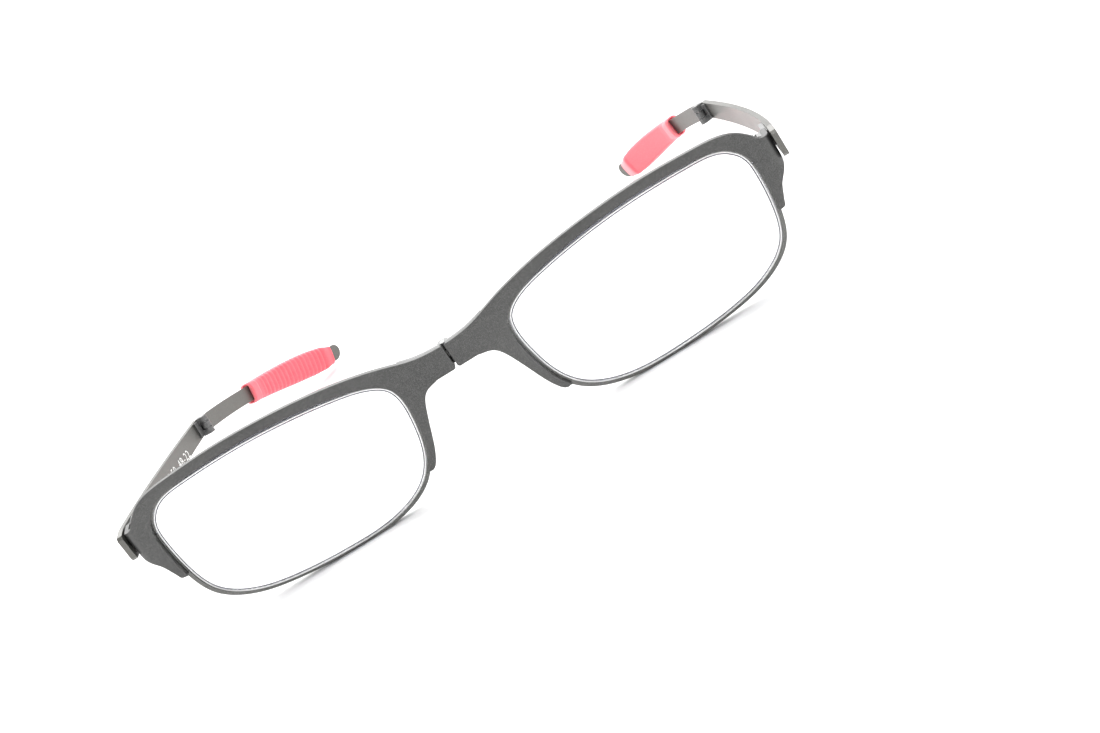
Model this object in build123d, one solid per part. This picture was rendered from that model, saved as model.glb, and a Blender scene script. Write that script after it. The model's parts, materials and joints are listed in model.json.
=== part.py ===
from build123d import *
import os
from math import cos, hypot, radians, sin, tan

# Folding reading glasses, unfolded for wearing. Millimetres.
# +X is towards the wearer's left ear, +Y runs back along the temples, +Z is up.
# The left half is modelled and mirrored. While modelling, the plates' front face is y = 0 and
# the middle of the bridge is z = 0; the last step moves the origin to the middle of the base.

# ---- front
plate_thickness = 1.1
seam_gap = 0.4              # between the two plates at the middle of the bridge
plate_over_rim = 0.35       # the plate stops this far outside the rim's inner edge
plate_edge_chamfer = 0.1   # round the front face
plate_end_x = 63.8          # outside face of the turned-back end
plate_end_back = 4.8        # how far back the turned-back end reaches
end_flange = 1.0            # its thickness
end_bend_radius = 2.0

rim_width = 0.7
rim_depth = 1.7
rim_slit = 0.24             # saw cut that the rim lock closes
rim_slit_z = 0.2
rim_slit_x = (58.0, 62.0)

# ---- lens
lens_centre = (35.2, -7.0)  # x, z
lens_front_y = -0.1
lens_middle_thickness = 2.2
lens_front_radius = 180.0
lens_back_radius = 390.0
lens_clearance = 0.03       # between the lens and the rim's inner edge
bevel_height = 0.3
bevel_half_width = 0.4

# ---- rim lock, behind the lug
lock_block = (1.9, 1.5, 1.9)
lock_x = 60.75
lock_screw_radius = 0.45
lock_head_radius = 0.75
lock_head_height = 0.5
lock_bore_depth = 1.4       # of the screw, in the upper block
slot_width = 0.25           # driver slots in all the screw heads
slot_depth = 0.25

# ---- hinge barrels
pin_clearance = 0.05
knuckle_gap = 0.15

bridge_pin_y = 2.2
bridge_pin_radius = 0.45
bridge_knuckle_radius = 1.0
bridge_knuckle_ends = (-1.9, 2.1)
bridge_leaf_reach = 8.3
bridge_leaf_thickness = 0.7
bridge_leaf_inset = 0.3     # above the plate's lower edge

temple_pin = (61.0, 4.0)    # x, y
temple_pin_radius = 0.5
temple_knuckle_radius = 1.1
temple_knuckle_ends = (-1.25, 2.95)
temple_head_radius = 0.95
temple_head_height = 0.4
end_hinge_plate = 0.5       # thickness of the plate that carries the two outer knuckles
end_hinge_front = 2.0       # its front edge, from the front face
temple_leaf_thickness = 0.9
temple_leaf_height = 3.0
temple_leaf_back = 10.4     # its rear edge, from the front face

# ---- temples
strip_thickness = 1.0
strip_x = 64.55             # middle of the strip's thickness at its front end
strip_front_y = 0.3
strip_straight_to = 4.0
strip_middle_z = 0.85
strip_front_height = 4.9
strip_rear_height = 3.3
strip_chamfer = 0.5         # on the two corners of its front end
front_bow = 16.5            # inward turn of the mid hinge, degrees
front_turn = 14.91          # inward turn of the strip along the front half, degrees
front_bow_radius = 200.5
rear_bow_radius = 152.0
rear_bow = 18.6             # further turn from the mid hinge to the tip, degrees
mid_drop = 4.95             # from the strip's start down to the mid hinge
front_sag = 0.4             # how far the front half hangs below a straight line to there
mid_slope = 12.1            # downward slope of the rear half there, degrees
hinge_tilt = 9.0            # backward lean of the mid hinge's pin, degrees
tip_z = -19.35

mid_pin_offset = 1.55       # from the middle of the strip, on its inner side
mid_pin_radius = 0.42
mid_knuckle_radius = 1.0
mid_knuckle_height = 3.7
mid_leaf_reach = 2.6
mid_leaf_thickness = 0.5
strip_end_gap = 0.3         # between the two halves of a temple
mid_overrun = 1.5           # how far each half's outline runs on before the gap is cut
mid_leaf_margin = 0.15      # the leaves are lower than the strip by this, above and below

# ---- silicone sleeves
sleeve_start = 24.0         # degrees of bow, measured as front_bow is
sleeve_end = 34.1
sleeve_thickness = 3.7
sleeve_height = 5.6
collar_height = 4.6
sleeve_end_height = 4.9

# The rim's inner edge seen from the front (x, z), clockwise from the middle of the brow.
opening_points = [
    (41.0, 6.2), (50.5, 5.85), (56.1, 4.5), (58.5, 1.8), (59.1, -2.5), (58.6, -8.5), (56.7, -14.0),
    (52.3, -17.4), (44.0, -19.6), (32.0, -20.5), (20.7, -19.4), (15.7, -16.7), (12.9, -12.6),
    (11.5, -7.4), (11.1, -3.0), (11.9, 0.0), (14.3, 2.0), (20.0, 3.9), (30.0, 5.55),
]
brow_way = (1, 0)           # direction of that edge at its first point

# The plate's outer edge seen from the front (x, z).
brow_points = [
    (6.0, 2.75), (10.5, 4.15), (16.0, 5.65), (24.5, 7.15), (33.0, 8.0), (43.0, 8.35), (52.0, 7.95),
    (57.0, 7.25), (60.0, 5.65), (61.6, 4.0),
]
lug_points = [(63.3, -2.9), (61.6, -5.0), (60.8, -6.8), (60.3, -8.1)]
nose_points = [(12.3, -14.9), (9.95, -9.8), (8.8, -6.9), (7.7, -4.6), (6.4, -3.25), (4.6, -2.75)]
seam_top = 2.15
seam_bottom = -2.6
lug_top = 3.1
lug_bottom = -1.2
outer_tip = (59.6, -8.8)
nose_tip = (13.6, -15.9)

beyond = 30                 # reaches past every piece, for cutting solids
front_plane = Plane(origin=(0, 0, 0), x_dir=(1, 0, 0), z_dir=(0, -1, 0))
bevel_y = plate_thickness + rim_depth / 2
rim_back = plate_thickness + rim_depth


def slab(face, y_front, y_back):
    """A front-view face made solid from y_front to y_back."""
    return Pos(0, y_back, 0) * extrude(front_plane * face, y_back - y_front)


def block(x_range, y_range, z_range):
    """A box between two limits on each axis."""
    size = [high - low for low, high in (x_range, y_range, z_range)]
    middle = [(high + low) / 2 for low, high in (x_range, y_range, z_range)]
    return Pos(*middle) * Box(*size)


def upright(x, y, radius, z_low, z_high):
    """A vertical cylinder."""
    return Pos(x, y, (z_low + z_high) / 2) * Cylinder(radius, z_high - z_low)


def driver_slot(x, y, z_range):
    """The room of a driver slot that runs along x."""
    return block((x - beyond, x + beyond), (y - slot_width / 2, y + slot_width / 2), z_range)


def opening_face(grow):
    """The lens opening, moved outwards by grow all round."""
    count = len(opening_points)
    moved = []
    for i, (x, z) in enumerate(opening_points):
        before = opening_points[i - 1]
        after = opening_points[(i + 1) % count]
        run = (after[0] - before[0], after[1] - before[1])
        length = hypot(*run)
        moved.append((x - grow * run[1] / length, z + grow * run[0] / length))
    return make_face(Spline(*moved, moved[0], tangents=[brow_way, brow_way], tangent_scalars=[1, 1]))


def bevel_at(face, y):
    """A front-view face standing at depth y."""
    return Pos(0, y, 0) * (front_plane * face)


def lens_bevel():
    """The V edge of the lens, which is also the groove in the rim."""
    inner = opening_face(-0.05)
    apex = opening_face(bevel_height)
    sections = [
        bevel_at(inner, bevel_y - bevel_half_width),
        bevel_at(apex, bevel_y),
        bevel_at(inner, bevel_y + bevel_half_width),
    ]
    return loft(sections, ruled=True)


def plate_outline():
    """The whole plate seen from the front, before the lens opening is cut."""
    seam = seam_gap / 2
    edges = [
        Spline((seam, seam_top), *brow_points, (plate_end_x, lug_top), tangents=[(1, 0), (1, -0.15)]),
        Line((plate_end_x, lug_top), (plate_end_x, lug_bottom)),
        Spline((plate_end_x, lug_bottom), *lug_points, outer_tip, tangents=[(0, -1), (-1, -0.1)]),
        Line(outer_tip, nose_tip),
        Spline(nose_tip, *nose_points, (seam, seam_bottom), tangents=[(-1, 0.2), (-1, 0)]),
        Line((seam, seam_bottom), (seam, seam_top)),
    ]
    face = make_face(edges)
    corners = face.vertices().sort_by(Axis.X)[:2]
    return fillet(corners, 0.5)


def plate_plan():
    """The plate seen from above: flat across the front, its end bent back."""
    inner_x = plate_end_x - end_flange
    profile = Polyline(
        (0, 0), (plate_end_x, 0), (plate_end_x, plate_end_back), (inner_x, plate_end_back),
        (inner_x, plate_thickness), (0, plate_thickness), close=True,
    )
    face = make_face(profile)
    outer_corner = face.vertices().sort_by_distance((plate_end_x, 0, 0))[0]
    face = fillet(outer_corner, end_bend_radius)
    inner_corner = face.vertices().sort_by_distance((inner_x, plate_thickness, 0))[0]
    return fillet(inner_corner, end_bend_radius - end_flange)


def front_plate():
    outline = slab(plate_outline(), 0, plate_end_back)
    opening = slab(opening_face(plate_over_rim), -1, plate_end_back + 1)
    plan = Pos(0, 0, -beyond) * extrude(plate_plan(), 2 * beyond)
    plate = (outline - opening) & plan
    front_face = plate.faces().filter_by(GeomType.PLANE).sort_by(Axis.Y)[0]
    outline_edges = front_face.edges().sort_by(Axis.X)[:-1]     # all but the line where the bend starts
    return chamfer(outline_edges, plate_edge_chamfer)


def rim():
    ring = slab(opening_face(rim_width), plate_thickness, rim_back)
    ring -= slab(opening_face(0), plate_thickness - 1, rim_back + 1)
    ring -= lens_bevel()
    slit_z = (rim_slit_z - rim_slit / 2, rim_slit_z + rim_slit / 2)
    return ring - block(rim_slit_x, (0, beyond), slit_z)


def lens():
    x, z = lens_centre
    blank = slab(opening_face(-lens_clearance), -beyond, beyond) + lens_bevel()
    front_ball = Pos(x, lens_front_y + lens_front_radius, z) * Sphere(lens_front_radius)
    back_y = lens_front_y + lens_middle_thickness + lens_back_radius
    back_ball = Pos(x, back_y, z) * Sphere(lens_back_radius)
    return (blank & front_ball) - back_ball


def rim_lock(plate):
    """Upper block, lower block and the screw that draws them together."""
    width, depth, height = lock_block
    x_range = (lock_x - width / 2, lock_x + width / 2)
    y_range = (plate_thickness, plate_thickness + depth)
    middle_y = plate_thickness + depth / 2
    upper_z = rim_slit_z + rim_slit / 2
    lower_z = rim_slit_z - rim_slit / 2
    head_top = lower_z - height
    screw_top = upper_z + lock_bore_depth
    upper = block(x_range, y_range, (upper_z, upper_z + height))
    lower = block(x_range, y_range, (head_top, lower_z))
    cut = slab(opening_face(rim_width), 0, rim_back + 1) + plate
    hole = upright(lock_x, middle_y, lock_screw_radius, -beyond, screw_top)
    screw = upright(lock_x, middle_y, lock_screw_radius, head_top, screw_top)
    screw += upright(lock_x, middle_y, lock_head_radius, head_top - lock_head_height, head_top)
    slot_top = head_top - lock_head_height + slot_depth
    screw -= driver_slot(lock_x, middle_y, (-beyond, slot_top))
    return upper - cut - hole, lower - cut - hole, screw


def knuckle_levels(ends):
    """Three knuckles between two ends: their (low, high) pairs from the bottom."""
    low, high = ends
    height = (high - low - 2 * knuckle_gap) / 3
    return [(low + i * (height + knuckle_gap), low + i * (height + knuckle_gap) + height) for i in range(3)]


def bridge_leaf(own_levels, other_levels):
    """A leaf on the plate's back with the knuckles at own_levels."""
    leaf_back = plate_thickness + bridge_leaf_thickness
    leaf = slab(plate_outline(), plate_thickness, leaf_back)
    leaf &= block((0, bridge_leaf_reach), (0, beyond), (seam_bottom + bridge_leaf_inset, beyond))
    radius = bridge_knuckle_radius
    for low, high in own_levels:
        leaf += upright(0, bridge_pin_y, radius, low, high)
        leaf += block((0, radius), (plate_thickness, bridge_pin_y), (low, high))
    for low, high in other_levels:
        room = upright(0, bridge_pin_y, radius + knuckle_gap, low - knuckle_gap, high + knuckle_gap)
        leaf -= room
    return leaf - upright(0, bridge_pin_y, bridge_pin_radius + pin_clearance, -beyond, beyond)


def end_hinge():
    """Two knuckles on a plate against the inside of the turned-back end."""
    x, y = temple_pin
    bottom, _, top = knuckle_levels(temple_knuckle_ends)
    inner_x = plate_end_x - end_flange
    plate_y = (end_hinge_front, plate_end_back)
    body = block((inner_x - end_hinge_plate, inner_x), plate_y, temple_knuckle_ends)
    for low, high in (bottom, top):
        body += upright(x, y, temple_knuckle_radius, low, high)
        body += block((x, inner_x), (y - temple_knuckle_radius, plate_end_back), (low, high))
    return body - upright(x, y, temple_pin_radius + pin_clearance, -beyond, beyond)


def temple_screw():
    x, y = temple_pin
    low, high = temple_knuckle_ends
    screw = upright(x, y, temple_pin_radius, low, high)
    screw += upright(x, y, temple_head_radius, high, high + temple_head_height)
    return screw - driver_slot(x, y, (high + temple_head_height - slot_depth, beyond))


def temple_leaf():
    """One knuckle on an arm from the leaf that is fixed inside the strip."""
    x, y = temple_pin
    _, middle, _ = knuckle_levels(temple_knuckle_ends)
    strip_inner = strip_x - strip_thickness / 2
    half_height = temple_leaf_height / 2
    leaf_front = plate_end_back + strip_chamfer
    leaf = block(
        (strip_inner - temple_leaf_thickness, strip_inner), (leaf_front, temple_leaf_back),
        (strip_middle_z - half_height, strip_middle_z + half_height),
    )
    leaf += upright(x, y, temple_knuckle_radius, *middle)
    arm = Polyline(
        (x - temple_knuckle_radius, y), (x + 0.4, y), (x + 1.6, y + 1.1),
        (strip_inner, leaf_front), (strip_inner, y + 3.0), (x + 0.6, y + 2.6), close=True,
    )
    leaf += Pos(0, 0, middle[0]) * extrude(make_face(arm), middle[1] - middle[0])
    return leaf - upright(x, y, temple_pin_radius + pin_clearance, -beyond, beyond)


# ---- the temple's two curves
bow_centre = (strip_x - front_bow_radius, strip_straight_to)
mid_x = bow_centre[0] + front_bow_radius * cos(radians(front_turn))
mid_y = bow_centre[1] + front_bow_radius * sin(radians(front_turn))
mid_z = strip_middle_z - mid_drop
rear_centre = (
    mid_x - rear_bow_radius * cos(radians(front_bow)),
    mid_y - rear_bow_radius * sin(radians(front_bow)),
)
tip_angle = front_bow + rear_bow
tip_y = rear_centre[1] + rear_bow_radius * sin(radians(tip_angle))
rear_fall = -tan(radians(mid_slope)) * (tip_y - mid_y)      # to the tip, if it ran on straight


def arc_band(centre, radius, start, end, thickness):
    """A flat band along an arc, seen from above."""
    def at(r, angle):
        return (centre[0] + r * cos(radians(angle)), centre[1] + r * sin(radians(angle)))

    outer, inner = radius + thickness / 2, radius - thickness / 2
    middle = (start + end) / 2
    edges = [
        ThreePointArc(at(outer, start), at(outer, middle), at(outer, end)),
        Line(at(outer, end), at(inner, end)),
        ThreePointArc(at(inner, end), at(inner, middle), at(inner, start)),
        Line(at(inner, start), at(outer, start)),
    ]
    return Pos(0, 0, -beyond) * extrude(make_face(edges), 2 * beyond)


def side_band(heights, start_y, end_y, bulge=0):
    """The rear half's side view: a band of three heights, its end standing out by bulge."""
    def line_point(y):
        share = (y - mid_y) / (tip_y - mid_y)
        return mid_z + rear_fall * share + (tip_z - mid_z - rear_fall) * share ** 2

    middle_y = (start_y + end_y) / 2
    top = [(y, line_point(y) + h / 2) for y, h in zip((start_y, middle_y, end_y), heights)]
    bottom = [(y, line_point(y) - h / 2) for y, h in zip((end_y, middle_y, start_y), heights[::-1])]
    end = Line(top[-1], bottom[0])
    if bulge:
        end = ThreePointArc(top[-1], (end_y + bulge, line_point(end_y + bulge)), bottom[0])
    edges = [Spline(*top), end, Spline(*bottom), Line(bottom[-1], top[0])]
    return extrude(Plane.YZ * make_face(edges), 3 * beyond)


# the mid hinge's own frame: x outwards through the strip, y back along it, z along the pin
hinge_out = Vector(cos(radians(front_bow)), sin(radians(front_bow)), 0)
hinge_back = Vector(-sin(radians(front_bow)), cos(radians(front_bow)), 0)
hinge_up = hinge_back * sin(radians(hinge_tilt)) + Vector(0, 0, 1) * cos(radians(hinge_tilt))
mid_pin = Vector(mid_x, mid_y, mid_z) - hinge_out * mid_pin_offset
hinge_frame = Location(Plane(origin=mid_pin, x_dir=hinge_out, z_dir=hinge_up))


def temple_front_half():
    straight = block(
        (strip_x - strip_thickness / 2, strip_x + strip_thickness / 2),
        (strip_front_y, strip_straight_to), (-beyond, beyond),
    )
    plan = straight + arc_band(bow_centre, front_bow_radius, 0, front_turn + 1, strip_thickness)
    end_y = mid_y + mid_overrun
    middle_y = (strip_straight_to + end_y) / 2
    chamfer_y = strip_front_y + strip_chamfer
    front_top = strip_middle_z + strip_front_height / 2
    front_bottom = strip_middle_z - strip_front_height / 2
    end_top = mid_z + strip_rear_height / 2
    end_bottom = mid_z - strip_rear_height / 2
    middle_top = (front_top + end_top) / 2 - front_sag
    middle_bottom = (front_bottom + end_bottom) / 2 - front_sag
    edges = [
        Line((strip_front_y, front_bottom + strip_chamfer), (strip_front_y, front_top - strip_chamfer)),
        Line((strip_front_y, front_top - strip_chamfer), (chamfer_y, front_top)),
        Line((chamfer_y, front_top), (strip_straight_to, front_top)),
        ThreePointArc((strip_straight_to, front_top), (middle_y, middle_top), (end_y, end_top)),
        Line((end_y, end_top), (end_y, end_bottom)),
        ThreePointArc((strip_straight_to, front_bottom), (middle_y, middle_bottom), (end_y, end_bottom)),
        Line((strip_straight_to, front_bottom), (chamfer_y, front_bottom)),
        Line((chamfer_y, front_bottom), (strip_front_y, front_bottom + strip_chamfer)),
    ]
    side = extrude(Plane.YZ * make_face(edges), 3 * beyond)
    behind = hinge_frame * block((-beyond, beyond), (-strip_end_gap / 2, beyond), (-beyond, beyond))
    return (plan & side) - behind


def temple_rear_half():
    """The rear strip, ending in a round tip that stands out of the sleeve."""
    plan = arc_band(rear_centre, rear_bow_radius, front_bow - 1, tip_angle + 2, strip_thickness)
    tip_round = strip_rear_height / 2
    side = side_band((strip_rear_height,) * 3, mid_y - 2 * mid_overrun, tip_y - tip_round, tip_round)
    ahead = hinge_frame * block((-beyond, beyond), (-beyond, strip_end_gap / 2), (-beyond, beyond))
    return (plan & side) - ahead


def sleeve(strip):
    plan = arc_band(rear_centre, rear_bow_radius, sleeve_start, sleeve_end, sleeve_thickness)
    start_y = rear_centre[1] + rear_bow_radius * sin(radians(sleeve_start))
    end_y = rear_centre[1] + rear_bow_radius * sin(radians(sleeve_end))
    side = side_band((collar_height, sleeve_height, sleeve_end_height), start_y - 1, end_y + 1)
    body = plan & side
    return body - strip


def mid_knuckle(low, high, reach_sign):
    """A knuckle and the foot that ties it to its leaf, in the hinge's frame."""
    radius = mid_knuckle_radius
    foot_y = sorted((0, reach_sign * radius))
    body = upright(0, 0, radius, low, high)
    return body + block((0, radius), foot_y, (low, high))


def mid_leaf(levels, reach_sign, clear_levels):
    """A hinge leaf on the strip's inner face; reach_sign is -1 to the front, +1 to the back."""
    strip_face = mid_pin_offset - strip_thickness / 2
    plate_y = sorted((reach_sign * strip_end_gap / 2, reach_sign * mid_leaf_reach))
    half_height = strip_rear_height / 2 - mid_leaf_margin
    body = block((strip_face - mid_leaf_thickness, strip_face), plate_y, (-half_height, half_height))
    for low, high in levels:
        body += mid_knuckle(low, high, reach_sign)
    for low, high in clear_levels:
        room = mid_knuckle_radius + knuckle_gap
        body -= upright(0, 0, room, low - knuckle_gap, high + knuckle_gap)
    body -= upright(0, 0, mid_pin_radius + pin_clearance, -beyond, beyond)
    body &= block((-beyond, strip_face), (-beyond, beyond), (-beyond, beyond))
    return hinge_frame * body


def left_side():
    """Every piece of the left half except the bridge."""
    plate = front_plate()
    upper, lower, lock_screw = rim_lock(plate)
    half = mid_knuckle_height / 2
    bottom, middle, top = knuckle_levels((-half, half))
    front_half = temple_front_half()
    rear_half = temple_rear_half()
    fork = mid_leaf([bottom, top], -1, [middle]) - front_half
    tongue = mid_leaf([middle], 1, [bottom, top]) - rear_half
    return {
        "front_plate": plate,
        "rim": rim(),
        "lens": lens(),
        "rim_lock_upper": upper,
        "rim_lock_lower": lower,
        "rim_lock_screw": lock_screw,
        "end_hinge": end_hinge() - plate,
        "temple_screw": temple_screw(),
        "temple_leaf": temple_leaf() - front_half,
        "temple_front_half": front_half,
        "mid_hinge_fork": fork,
        "mid_hinge_pin": hinge_frame * upright(0, 0, mid_pin_radius, -half, half),
        "mid_hinge_tongue": tongue,
        "temple_rear_half": rear_half,
        "sleeve": sleeve(rear_half),
    }


def all_nodes():
    nodes = {}
    for name, solid in left_side().items():
        nodes["left_" + name] = solid
        nodes["right_" + name] = mirror(solid, about=Plane.YZ)
    bottom, middle, top = knuckle_levels(bridge_knuckle_ends)
    nodes["left_bridge_leaf"] = bridge_leaf([bottom, top], [middle])
    nodes["right_bridge_leaf"] = mirror(bridge_leaf([middle], [bottom, top]), about=Plane.YZ)
    nodes["bridge_pin"] = upright(0, bridge_pin_y, bridge_pin_radius, *bridge_knuckle_ends)
    return nodes


nodes = all_nodes()
boxes = [solid.bounding_box() for solid in nodes.values()]
front = min(box.min.Y for box in boxes)
back = max(box.max.Y for box in boxes)
base = min(box.min.Z for box in boxes)
to_base = Pos(0, -(front + back) / 2, -base)

os.makedirs("parts", exist_ok=True)
for name, solid in nodes.items():
    placed = to_base * solid
    export_step(placed, f"parts/{name}.step")

shift = to_base.position
print("front, back, base:", round(front, 3), round(back, 3), round(base, 3))
print("bridge pin:", Vector(0, bridge_pin_y, 0) + shift)
print("temple pin:", Vector(*temple_pin, 0) + shift)
print("mid pin:", mid_pin + shift, "axis", hinge_up)
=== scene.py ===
import json
from math import cos, exp, pi, radians, sin

import bmesh
import bpy
from mathutils import Matrix, Vector


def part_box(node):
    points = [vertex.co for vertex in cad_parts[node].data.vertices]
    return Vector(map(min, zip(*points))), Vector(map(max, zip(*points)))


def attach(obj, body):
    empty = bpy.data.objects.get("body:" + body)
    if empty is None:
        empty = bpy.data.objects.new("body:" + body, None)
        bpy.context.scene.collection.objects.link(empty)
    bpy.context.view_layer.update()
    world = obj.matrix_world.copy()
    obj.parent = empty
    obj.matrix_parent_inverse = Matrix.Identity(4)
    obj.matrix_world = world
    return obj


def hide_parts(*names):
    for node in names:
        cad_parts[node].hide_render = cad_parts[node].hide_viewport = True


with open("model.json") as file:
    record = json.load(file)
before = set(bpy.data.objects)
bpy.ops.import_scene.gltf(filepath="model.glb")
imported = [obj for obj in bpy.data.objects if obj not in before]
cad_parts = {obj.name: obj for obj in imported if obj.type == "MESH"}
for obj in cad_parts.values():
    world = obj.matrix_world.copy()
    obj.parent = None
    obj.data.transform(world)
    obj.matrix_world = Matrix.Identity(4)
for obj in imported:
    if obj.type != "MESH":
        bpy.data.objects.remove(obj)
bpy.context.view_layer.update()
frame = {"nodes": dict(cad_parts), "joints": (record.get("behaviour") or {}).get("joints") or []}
nodes = frame["nodes"]
joints = {joint["name"]: joint for joint in frame["joints"]}

MM = 0.001

# ---- the temple's rear curve, the same as the CAD strip's, in metres
FRONT_BOW = radians(16.5)           # direction of the strip at the mid hinge, inwards
REAR_RADIUS = 152 * MM
REAR_BOW = radians(18.6)
MID_PIN_OFFSET = 1.55 * MM          # pin to the middle of the strip
MID_SLOPE = radians(12.1)
STRIP_X = 64.55 * MM
STRIP_THICKNESS = 1.0 * MM
FRONT_RADIUS = 200.5 * MM
STRAIGHT_LENGTH = 3.7 * MM          # straight stretch of the strip at its front end
SLEEVE_START = radians(24.0)
SLEEVE_END = radians(34.1)


def lowest(node):
    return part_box(node)[0]


mid_pin = Vector(joints["left_mid_fold"]["pos_m"])
mid_point = mid_pin + MID_PIN_OFFSET * Vector((cos(FRONT_BOW), sin(FRONT_BOW), 0))
rear_centre = mid_point - REAR_RADIUS * Vector((cos(FRONT_BOW), sin(FRONT_BOW), 0))
tip_y = rear_centre.y + REAR_RADIUS * sin(FRONT_BOW + REAR_BOW)
tip_drop = 15.25 * MM               # from the mid hinge down to the middle of the tip


# ---- materials
def new_material(name):
    material = bpy.data.materials.new(name)
    material.use_nodes = True
    tree = material.node_tree
    return material, tree, tree.nodes["Principled BSDF"]


def add(tree, kind, **settings):
    node = tree.nodes.new(kind)
    for key, value in settings.items():
        setattr(node, key, value)
    return node


def object_noise(tree, scale, detail=2.0, roughness=0.5, stretch=(1, 1, 1)):
    """Noise fixed to the object, scale in cycles per metre."""
    where = add(tree, "ShaderNodeTexCoord")
    mapping = add(tree, "ShaderNodeMapping")
    mapping.inputs["Scale"].default_value = stretch
    noise = add(tree, "ShaderNodeTexNoise")
    noise.inputs["Scale"].default_value = scale
    noise.inputs["Detail"].default_value = detail
    noise.inputs["Roughness"].default_value = roughness
    tree.links.new(where.outputs["Object"], mapping.inputs["Vector"])
    tree.links.new(mapping.outputs["Vector"], noise.inputs["Vector"])
    return noise.outputs["Fac"]


def ramp(tree, value, stops):
    """A colour ramp over a value: stops are (position, colour)."""
    node = add(tree, "ShaderNodeValToRGB")
    band = node.color_ramp
    while len(band.elements) < len(stops):
        band.elements.new(0.5)
    for element, (position, colour) in zip(band.elements, stops):
        element.position = position
        element.color = (*colour, 1)
    tree.links.new(value, node.inputs["Fac"])
    return node.outputs["Color"]


def remap(tree, value, low, high, from_low=0.3, from_high=0.7):
    node = add(tree, "ShaderNodeMapRange")
    node.inputs["From Min"].default_value = from_low
    node.inputs["From Max"].default_value = from_high
    node.inputs["To Min"].default_value = low
    node.inputs["To Max"].default_value = high
    tree.links.new(value, node.inputs["Value"])
    return node.outputs["Result"]


def mix_colour(tree, factor, first, second):
    node = add(tree, "ShaderNodeMix", data_type="RGBA")
    for socket, value in ((node.inputs[6], first), (node.inputs[7], second)):
        if isinstance(value, tuple):
            socket.default_value = (*value, 1)
        else:
            tree.links.new(value, socket)
    tree.links.new(factor, node.inputs[0])
    return node.outputs[2]


def bumps(tree, shader, layers):
    """Stacks height layers, each (value, strength, distance)."""
    normal = None
    for value, strength, distance in layers:
        bump = add(tree, "ShaderNodeBump")
        bump.inputs["Strength"].default_value = strength
        bump.inputs["Distance"].default_value = distance
        tree.links.new(value, bump.inputs["Height"])
        if normal is not None:
            tree.links.new(normal, bump.inputs["Normal"])
        normal = bump.outputs["Normal"]
    tree.links.new(normal, shader.inputs["Normal"])


def edge_wear_and_highlight(tree, radius, low, high):
    """How far a rounded normal turns from the true one: high on sharp edges."""
    bevel = add(tree, "ShaderNodeBevel", samples=6)
    bevel.inputs["Radius"].default_value = radius
    geometry = add(tree, "ShaderNodeNewGeometry")
    dot = add(tree, "ShaderNodeVectorMath", operation="DOT_PRODUCT")
    tree.links.new(bevel.outputs["Normal"], dot.inputs[0])
    tree.links.new(geometry.outputs["Normal"], dot.inputs[1])
    return remap(tree, dot.outputs["Value"], 1, 0, low, high), bevel.outputs["Normal"]


def satin_metal(name, dark, light, worn_and_highlight, metallic, rough, edge_radius=0.12 * MM, grain=0.25):
    """Blasted and coated metal: cloudy colour, fine grain, and paler edges that are partly wear and partly painted
    highlight.
    """
    material, tree, shader = new_material(name)
    cloud = object_noise(tree, 55, 7, 0.5)
    speck = object_noise(tree, 9000, 2, 0.6)
    base = ramp(tree, cloud, [(0.3, dark), (0.7, light)])
    speckled = mix_colour(tree, remap(tree, speck, 0, 0.5, 0.45, 0.8), base, worn_and_highlight)
    # paler edges: partly wear, partly a painted highlight where the edges would catch the light
    edges, rounded = edge_wear_and_highlight(tree, edge_radius, 0.75, 0.99)
    scratch = object_noise(tree, 1400, 3, 0.7)
    patchy = add(tree, "ShaderNodeMath", operation="MULTIPLY")
    tree.links.new(edges, patchy.inputs[0])
    tree.links.new(remap(tree, scratch, 0.25, 0.8), patchy.inputs[1])
    tree.links.new(mix_colour(tree, patchy.outputs[0], speckled, worn_and_highlight), shader.inputs["Base Color"])
    shader.inputs["Metallic"].default_value = metallic
    tree.links.new(remap(tree, cloud, rough - 0.05, rough + 0.07), shader.inputs["Roughness"])
    bump = add(tree, "ShaderNodeBump")
    bump.inputs["Strength"].default_value = grain
    bump.inputs["Distance"].default_value = 0.02 * MM
    tree.links.new(speck, bump.inputs["Height"])
    tree.links.new(rounded, bump.inputs["Normal"])
    tree.links.new(bump.outputs["Normal"], shader.inputs["Normal"])
    return material


def lens_material():
    """Clear lens with a faint lavender coating and a frosted lavender edge."""
    material, tree, shader = new_material("clear_lens")
    geometry = add(tree, "ShaderNodeNewGeometry")
    split = add(tree, "ShaderNodeSeparateXYZ")
    facing = add(tree, "ShaderNodeMath", operation="ABSOLUTE")
    tree.links.new(geometry.outputs["True Normal"], split.inputs["Vector"])
    tree.links.new(split.outputs["Y"], facing.inputs[0])
    edge = remap(tree, facing.outputs[0], 1, 0, 0.75, 0.95)
    haze = object_noise(tree, 700, 3)
    edge_tint = ramp(tree, haze, [(0.3, (0.62, 0.64, 0.86)), (0.7, (0.78, 0.78, 0.95))])
    face_tint = ramp(tree, haze, [(0.3, (0.985, 0.988, 1.0)), (0.7, (0.995, 0.995, 1.0))])
    tree.links.new(mix_colour(tree, edge, face_tint, edge_tint), shader.inputs["Base Color"])
    tree.links.new(remap(tree, edge, 0.0, 0.35, 0, 1), shader.inputs["Roughness"])
    shader.inputs["Transmission Weight"].default_value = 1.0
    shader.inputs["IOR"].default_value = 1.5
    return material


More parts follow.
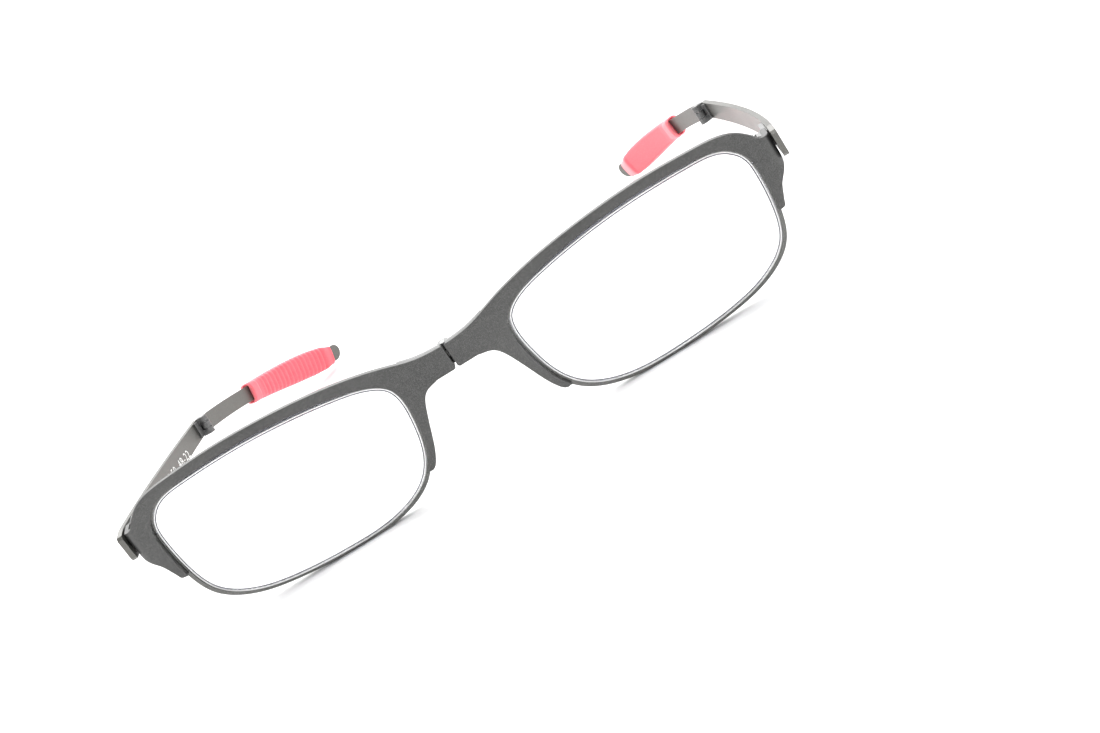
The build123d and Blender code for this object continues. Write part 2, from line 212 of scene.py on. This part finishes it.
def silicone_material():
    """Soft coral silicone: matte, a little translucent, with faint dust in its texture and a painted glow where light
    would pass through its thin parts.
    """
    material, tree, shader = new_material("coral_silicone")
    cloud = object_noise(tree, 220, 4, 0.6)
    fine = object_noise(tree, 5200, 3, 0.65)
    colour = ramp(tree, cloud, [(0.3, (0.84, 0.075, 0.108)), (0.7, (0.9, 0.1, 0.135))])
    dusty = mix_colour(tree, remap(tree, fine, 0, 0.16, 0.5, 0.8), colour, (1.0, 0.55, 0.55))
    # painted light: the per-vertex paleness paints a glow of light passing through thin silicone
    painted_glow = add(tree, "ShaderNodeAttribute", attribute_name="pale")
    paler = mix_colour(tree, painted_glow.outputs["Fac"], dusty, (0.98, 0.3, 0.34))
    tree.links.new(paler, shader.inputs["Base Color"])
    tree.links.new(remap(tree, cloud, 0.46, 0.6), shader.inputs["Roughness"])
    shader.inputs["Subsurface Weight"].default_value = 0.25
    shader.inputs["Subsurface Radius"].default_value = (1.0, 0.35, 0.3)
    shader.inputs["Subsurface Scale"].default_value = 1.2 * MM
    shader.inputs["Sheen Weight"].default_value = 0.25
    shader.inputs["Sheen Roughness"].default_value = 0.5
    bumps(tree, shader, [(fine, 0.25, 0.015 * MM), (cloud, 0.15, 0.05 * MM)])
    return material


def ink_material():
    material, tree, shader = new_material("white_ink")
    patch = object_noise(tree, 6000, 3)
    tree.links.new(ramp(tree, patch, [(0.3, (0.72, 0.72, 0.7)), (0.7, (0.9, 0.9, 0.88))]), shader.inputs["Base Color"])
    shader.inputs["Roughness"].default_value = 0.55
    return material


def lens_edge_shade_material():
    """A dark, faintly mottled line where the lens's bevel begins: painted shade standing for the rim groove seen
    through the lens edge.
    """
    material, tree, shader = new_material("painted_lens_edge_shade")
    haze = object_noise(tree, 900, 3)
    # dark grey: painted shade
    tree.links.new(ramp(tree, haze, [(0.3, (0.13, 0.13, 0.15)), (0.7, (0.2, 0.2, 0.23))]), shader.inputs["Base Color"])
    shader.inputs["Roughness"].default_value = 0.35
    return material


def floor_material():
    material, tree, shader = new_material("pale_floor")
    cloud = object_noise(tree, 12, 3)
    tree.links.new(ramp(tree, cloud, [(0.3, (0.9, 0.9, 0.9)), (0.7, (0.93, 0.93, 0.93))]), shader.inputs["Base Color"])
    shader.inputs["Roughness"].default_value = 0.7
    return material


def paint_cad_nodes():
    """Every CAD node that stays gets the finished material of its own metal or glass."""
    front = satin_metal("gunmetal_front", (0.052, 0.052, 0.052), (0.082, 0.082, 0.081), (0.26, 0.26, 0.25), 0.6, 0.4)
    wire = satin_metal("gunmetal_wire", (0.085, 0.085, 0.083), (0.12, 0.12, 0.117), (0.4, 0.4, 0.38), 0.85, 0.22)
    temple = satin_metal("temple_metal", (0.105, 0.103, 0.096), (0.135, 0.132, 0.123), (0.3, 0.3, 0.28), 0.7, 0.36)
    hinge = satin_metal("hinge_metal", (0.09, 0.09, 0.09), (0.13, 0.13, 0.13), (0.34, 0.34, 0.33), 0.7, 0.35)
    screw = satin_metal("steel_screw", (0.42, 0.42, 0.41), (0.55, 0.55, 0.54), (0.7, 0.7, 0.69), 0.95, 0.28)
    glass = lens_material()
    finish = {
        "front_plate": front, "rim": wire, "rim_lock_upper": wire, "rim_lock_lower": wire, "lens": glass,
        "rim_lock_screw": screw, "temple_screw": screw, "mid_hinge_pin": screw, "bridge_pin": screw,
        "bridge_leaf": hinge, "end_hinge": hinge, "temple_leaf": hinge, "mid_hinge_fork": hinge,
        "mid_hinge_tongue": hinge, "temple_front_half": temple, "temple_rear_half": temple,
    }
    for name, node in nodes.items():
        kind = name if name in finish else name.split("_", 1)[1]
        if kind in finish:
            for material_slot in node.material_slots:
                material_slot.material = finish[kind]
    return temple


# ---- the silicone sleeves
def rear_line(angle):
    """Middle of the rear strip at a bow angle: point, direction back, direction outwards."""
    point = rear_centre + REAR_RADIUS * Vector((cos(angle), sin(angle), 0))
    share = (point.y - mid_point.y) / (tip_y - mid_point.y)
    slope = -sin(MID_SLOPE) / cos(MID_SLOPE) * (tip_y - mid_point.y)
    point.z = mid_point.z + slope * share + (-tip_drop - slope) * share ** 2
    drop = (slope + 2 * (-tip_drop - slope) * share) / (tip_y - mid_point.y) * cos(angle)
    along = Vector((-sin(angle), cos(angle), drop)).normalized()
    outward = Vector((cos(angle), sin(angle), 0))
    return point, along, outward


def smooth_step(value):
    value = min(max(value, 0.0), 1.0)
    return value * value * (3 - 2 * value)


SLEEVE_RINGS = 260
RING_POINTS = 64
RIB_COUNT = 17
COLLAR_SHARE = 0.085                # of the sleeve's length
TAPER_SHARE = 0.1                   # at the rear end
RIB_DEPTH = 0.12 * MM
PANEL_DEPTH = 0.25 * MM
MOUTH = (0.8 * MM, 1.9 * MM)        # half thickness and half height of the front opening
MOUTH_DEPTH = 0.012                 # of the sleeve's length
STRIP = (0.48 * MM, 1.6 * MM)       # just inside the strip's own section


def rounded_box(around, half_thickness, half_height, power):
    """A point of a superellipse: outwards and upwards."""
    c, s = cos(around), sin(around)
    size = (abs(c) ** power + abs(s) ** power) ** (-1 / power)
    return c * size * half_thickness, s * size * half_height


def sleeve_section(share, around, ribbed_side):
    """One point of the sleeve's skin, and how pale it is painted there: a painted glow of light through thin silicone.
    """
    swell = smooth_step(share / 0.65)
    taper = smooth_step((share - 1 + TAPER_SHARE) / TAPER_SHARE)
    thickness = (1.62 + 0.16 * swell - 0.45 * taper) * MM
    height = (2.2 + 0.5 * swell - 0.25 * smooth_step((share - 0.75) / 0.2) - 0.45 * taper) * MM
    out, up = rounded_box(around, thickness, height, 3.4)
    side = ribbed_side * out / thickness
    edge = abs(up) / height

    groove = 0.14 * MM * exp(-((share - COLLAR_SHARE) / 0.01) ** 2)
    along_body = (share - COLLAR_SHARE) / (1 - TAPER_SHARE - COLLAR_SHARE)
    on_body = smooth_step((along_body - 0.03) / 0.03) * smooth_step((1 - along_body) / 0.03)
    on_ribs = smooth_step((side + 0.35) / 0.6)
    valley = (0.5 - 0.5 * cos(2 * pi * RIB_COUNT * along_body)) ** 1.6
    on_panel = smooth_step((-side - 0.72) / 0.18) * smooth_step((0.9 - edge) / 0.12)
    in_panel = smooth_step((along_body - 0.05) / 0.03) * smooth_step((0.99 - along_body) / 0.05)
    cut = groove + RIB_DEPTH * valley * on_body * on_ribs + PANEL_DEPTH * on_panel * in_panel

    lip = 1 - (1 - min(1.0, share / 0.012)) ** 2
    cut += (1 - lip) * 0.25 * MM
    length = (out * out + up * up) ** 0.5
    keep = (length - cut) / length
    # painted glow: the collar and the rear end of the body are painted paler, most on the smooth side
    pale = (1 - smooth_step((share - COLLAR_SHARE - 0.01) / 0.02)) * (0.6 - 0.35 * smooth_step(side + 0.5))
    pale += smooth_step((along_body - 0.97) / 0.05) * smooth_step(-side * 3) * 0.8
    return out * keep, up * keep, min(pale, 1.0)


def sleeve_ring(shape, tint, side, share, section):
    """A ring of vertices about the strip, at a share of the sleeve's length."""
    sign = 1 if side == "left" else -1
    point, along, outward = rear_line(SLEEVE_START + (SLEEVE_END - SLEEVE_START) * share)
    upward = outward.cross(along).normalized()
    ring = []
    for k in range(RING_POINTS):
        out, up, pale = section(2 * pi * k / RING_POINTS)
        spot = point + outward * out + upward * up
        vertex = shape.verts.new((sign * spot.x, spot.y, spot.z))
        vertex[tint] = (pale, pale, pale, 1)
        ring.append(vertex)
    return ring


def sleeve(side):
    """A moulded sleeve: collar, fine ribs on one face, a sunk smooth panel on the other."""
    ribbed_side = 1 if side == "left" else -1
    shape = bmesh.new()
    tint = shape.verts.layers.float_color.new("pale")

    def plain(size, pale, power):
        return lambda around: (*rounded_box(around, *size, power), pale)

    rings = [
        # mouth rings: the middle number of each plain ring is its painted glow paleness
        sleeve_ring(shape, tint, side, MOUTH_DEPTH, plain(STRIP, 0, 8)),
        sleeve_ring(shape, tint, side, MOUTH_DEPTH, plain(MOUTH, 0, 4)),
        sleeve_ring(shape, tint, side, 0.002, plain(MOUTH, 0.3, 4)),
        sleeve_ring(shape, tint, side, 0, plain((MOUTH[0] + 0.06 * MM, MOUTH[1] + 0.04 * MM), 0.6, 4)),
    ]
    for i in range(SLEEVE_RINGS + 1):
        share = i / SLEEVE_RINGS
        rings.append(sleeve_ring(
            shape, tint, side, share, lambda around: sleeve_section(share, around, ribbed_side)))
    rings.append(sleeve_ring(shape, tint, side, 1.0, plain(STRIP, 0.3, 8)))
    for near, far in zip(rings, rings[1:]):
        for k in range(RING_POINTS):
            m = (k + 1) % RING_POINTS
            shape.faces.new((near[k], near[m], far[m], far[k]))
    shape.faces.new(rings[0])
    shape.faces.new(rings[-1])
    bmesh.ops.recalc_face_normals(shape, faces=shape.faces)
    for face in shape.faces:
        face.smooth = len(face.verts) == 4
    mesh = bpy.data.meshes.new(side + "_silicone_sleeve")
    shape.to_mesh(mesh)
    shape.free()
    piece = bpy.data.objects.new(side + "_silicone_sleeve", mesh)
    bpy.context.scene.collection.objects.link(piece)
    mesh.materials.append(silicone)
    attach(piece, side + "_temple_rear")
    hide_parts(side + "_sleeve")


# ---- a painted highlight line inside each rim and a painted shade line at the edge of its lens
# pale tube inside the rim, a painted highlight: inset, half width, half depth
RIM_HIGHLIGHT_LINE = (0.12 * MM, 0.13 * MM, 0.1 * MM)          # inset, half width, half depth
# painted shade line at the lens edge: inset, half width, half depth
LENS_EDGE_SHADE_LINE = (0.42 * MM, 0.12 * MM, 0.04 * MM)
LINE_SIDES = 8
LINE_POINTS = 260


def front_loop(piece):
    """The edge of the lens's front face, as points in order around it."""
    joined = bmesh.new()
    joined.from_mesh(piece.data)
    bmesh.ops.remove_doubles(joined, verts=joined.verts, dist=0.001 * MM)
    joined.normal_update()
    neighbours = {}
    for edge in joined.edges:
        if sum(face.normal.y < -0.9 for face in edge.link_faces) == 1:
            first, second = edge.verts
            neighbours.setdefault(first, []).append(second)
            neighbours.setdefault(second, []).append(first)
    start = min(neighbours, key=lambda vertex: tuple(vertex.co))
    loop = [start, neighbours[start][0]]
    while True:
        ahead = next(vertex for vertex in neighbours[loop[-1]] if vertex is not loop[-2])
        if ahead is start:
            break
        loop.append(ahead)
    points = [piece.matrix_world @ vertex.co for vertex in loop]
    joined.free()
    return points


def even_points(loop, count):
    """The same loop with its points evenly spaced."""
    closed = loop + loop[:1]
    steps = [(b - a).length for a, b in zip(closed, closed[1:])]
    spacing = sum(steps) / count
    points, walked, i = [], 0.0, 0
    for k in range(count):
        target = k * spacing
        while walked + steps[i] < target:
            walked += steps[i]
            i += 1
        points.append(closed[i].lerp(closed[i + 1], (target - walked) / steps[i]))
    return points


def ring_line(name, side, loop, layout, surface, material):
    """A fine closed line that follows the loop at an inset, lying on the front of a surface."""
    inset, half_width, half_depth = layout
    middle = sum(loop, Vector()) / len(loop)
    back = surface.matrix_world.inverted()
    shape = bmesh.new()
    rings = []
    for k, point in enumerate(loop):
        along = (loop[(k + 1) % len(loop)] - loop[k - 1]).normalized()
        inward = Vector((-along.z, 0, along.x)).normalized()
        if inward.dot(middle - point) < 0:
            inward = -inward
        centre = point + inward * inset
        hit, spot, _, _ = surface.ray_cast(back @ (centre - Vector((0, 5 * MM, 0))), Vector((0, 1, 0)))
        if hit:
            centre.y = (surface.matrix_world @ spot).y
        ring = []
        for j in range(LINE_SIDES):
            turn = 2 * pi * j / LINE_SIDES
            offset = inward * cos(turn) * half_width + Vector((0, sin(turn) * half_depth, 0))
            ring.append(shape.verts.new(centre + offset))
        rings.append(ring)
    for k, ring in enumerate(rings):
        following = rings[(k + 1) % len(rings)]
        for j in range(LINE_SIDES):
            m = (j + 1) % LINE_SIDES
            shape.faces.new((ring[j], ring[m], following[m], following[j])).smooth = True
    bmesh.ops.recalc_face_normals(shape, faces=shape.faces)
    mesh = bpy.data.meshes.new(name)
    shape.to_mesh(mesh)
    shape.free()
    piece = bpy.data.objects.new(name, mesh)
    bpy.context.scene.collection.objects.link(piece)
    mesh.materials.append(material)
    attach(piece, side + "_front")
    return piece


def lens_lines(side):
    lens = nodes[side + "_lens"]
    loop = even_points(front_loop(lens), LINE_POINTS)
    # painted highlight: a pale metal tube just inside the rim, where the wire's inner edge would catch the light
    lip = ring_line(side + "_painted_rim_highlight_line", side, loop, RIM_HIGHLIGHT_LINE, lens, painted_rim_highlight)
    # painted shade: a dark tube on the lens face where the groove shows darkly through the lens edge
    line = ring_line(side + "_painted_lens_shade_line", side, loop, LENS_EDGE_SHADE_LINE, lens, lens_edge_shade)


# ---- the power mark printed inside one temple
def strip_spot(distance, height):
    """A point on the inner face of the right front strip, distance back from its front end."""
    inner = STRIP_X - STRIP_THICKNESS / 2
    start_y = lowest("right_temple_front_half").y
    bend = max(0.0, distance - STRAIGHT_LENGTH) / FRONT_RADIUS
    x = inner - FRONT_RADIUS * (1 - cos(bend))
    y = start_y + min(distance, STRAIGHT_LENGTH) + FRONT_RADIUS * sin(bend)
    return Vector((-x + 0.02 * MM, y, height))


def power_mark():
    """Generic lens power and size numbers in white ink, laid on the strip's curve."""
    text = bpy.data.curves.new("power_text", "FONT")
    text.body = "+1.50  48-22"
    text.size = 2.3 * MM
    text.space_character = 1.15
    text.resolution_u = 4
    text.extrude = 0
    flat = bpy.data.objects.new("power_text", text)
    bpy.context.scene.collection.objects.link(flat)
    mesh = bpy.data.meshes.new_from_object(flat.evaluated_get(bpy.context.evaluated_depsgraph_get()))
    bpy.data.objects.remove(flat)
    start = 32.0 * MM
    front_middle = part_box("right_temple_front_half")[1].z - 2.45 * MM
    for vertex in mesh.vertices:
        distance = start + vertex.co.x
        fall = 0.118 * (distance - STRAIGHT_LENGTH)
        vertex.co = strip_spot(distance, front_middle - 0.95 * MM - fall + vertex.co.y)
    mesh.name = "right_power_mark"
    mesh.materials.clear()
    mesh.materials.append(ink_material())
    piece = bpy.data.objects.new("right_power_mark", mesh)
    bpy.context.scene.collection.objects.link(piece)
    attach(piece, "right_temple_front")


# ---- stage, light and camera
def floor():
    half = 3.0
    mesh = bpy.data.meshes.new("floor")
    mesh.from_pydata([(-half, -half, 0), (half, -half, 0), (half, half, 0), (-half, half, 0)], [], [(0, 1, 2, 3)])
    piece = bpy.data.objects.new("floor", mesh)
    bpy.context.scene.collection.objects.link(piece)
    mesh.materials.append(floor_material())


def softbox(name, place, aim, size, power):
    light = bpy.data.lights.new(name, "AREA")
    light.shape = "RECTANGLE"
    light.size, light.size_y = size
    light.energy = power
    lamp = bpy.data.objects.new(name, light)
    lamp.location = place
    lamp.rotation_euler = (Vector(aim) - Vector(place)).to_track_quat("-Z", "Y").to_euler()
    bpy.context.scene.collection.objects.link(lamp)


def lighting():
    world = bpy.data.worlds.new("studio")
    world.use_nodes = True
    world.node_tree.nodes["Background"].inputs["Color"].default_value = (1, 1, 1, 1)
    world.node_tree.nodes["Background"].inputs["Strength"].default_value = 0.6
    bpy.context.scene.world = world
    softbox("key", (0.1, 0.1, 0.8), (0, 0, 0), (0.7, 0.7), 7.0)
    softbox("back", (-0.5, 1.7, 1.1), (-0.3, 0.9, 0), (2.4, 1.6), 48.0)
    softbox("front_right", (0.8, -0.5, 0.3), (0, 0, 0), (0.5, 0.4), 2.5)
    softbox("front_left", (-0.8, -0.4, 0.3), (0, 0, 0), (0.5, 0.4), 2.5)


def camera():
    """Camera at the viewing angle: close, a little to the left of the wearer, above and rolled."""
    place = Vector((55.3, -377.7, 130.8)) * MM
    yaw, pitch, roll = radians(7.37), radians(20.04), radians(-34.19)
    lens = bpy.data.cameras.new("camera")
    lens.sensor_width = 36
    lens.lens = 68.95
    lens.clip_start = 0.01
    view = bpy.data.objects.new("camera", lens)
    turn = Matrix.Rotation(yaw, 4, "Z") @ Matrix.Rotation(pi / 2 - pitch, 4, "X") @ Matrix.Rotation(roll, 4, "Z")
    view.matrix_world = Matrix.Translation(place) @ turn
    bpy.context.scene.collection.objects.link(view)
    bpy.context.scene.camera = view


paint_cad_nodes()
silicone = silicone_material()
sleeve("left")
sleeve("right")
lens_edge_shade = lens_edge_shade_material()
# pale metal for the painted rim highlight
painted_rim_highlight = satin_metal("painted_rim_highlight", (0.6, 0.6, 0.6), (0.72, 0.72, 0.72), (0.85, 0.85, 0.84), 0.8, 0.3)
lens_lines("left")
lens_lines("right")
power_mark()
floor()
lighting()
camera()
bpy.context.scene.view_settings.view_transform = "Standard"
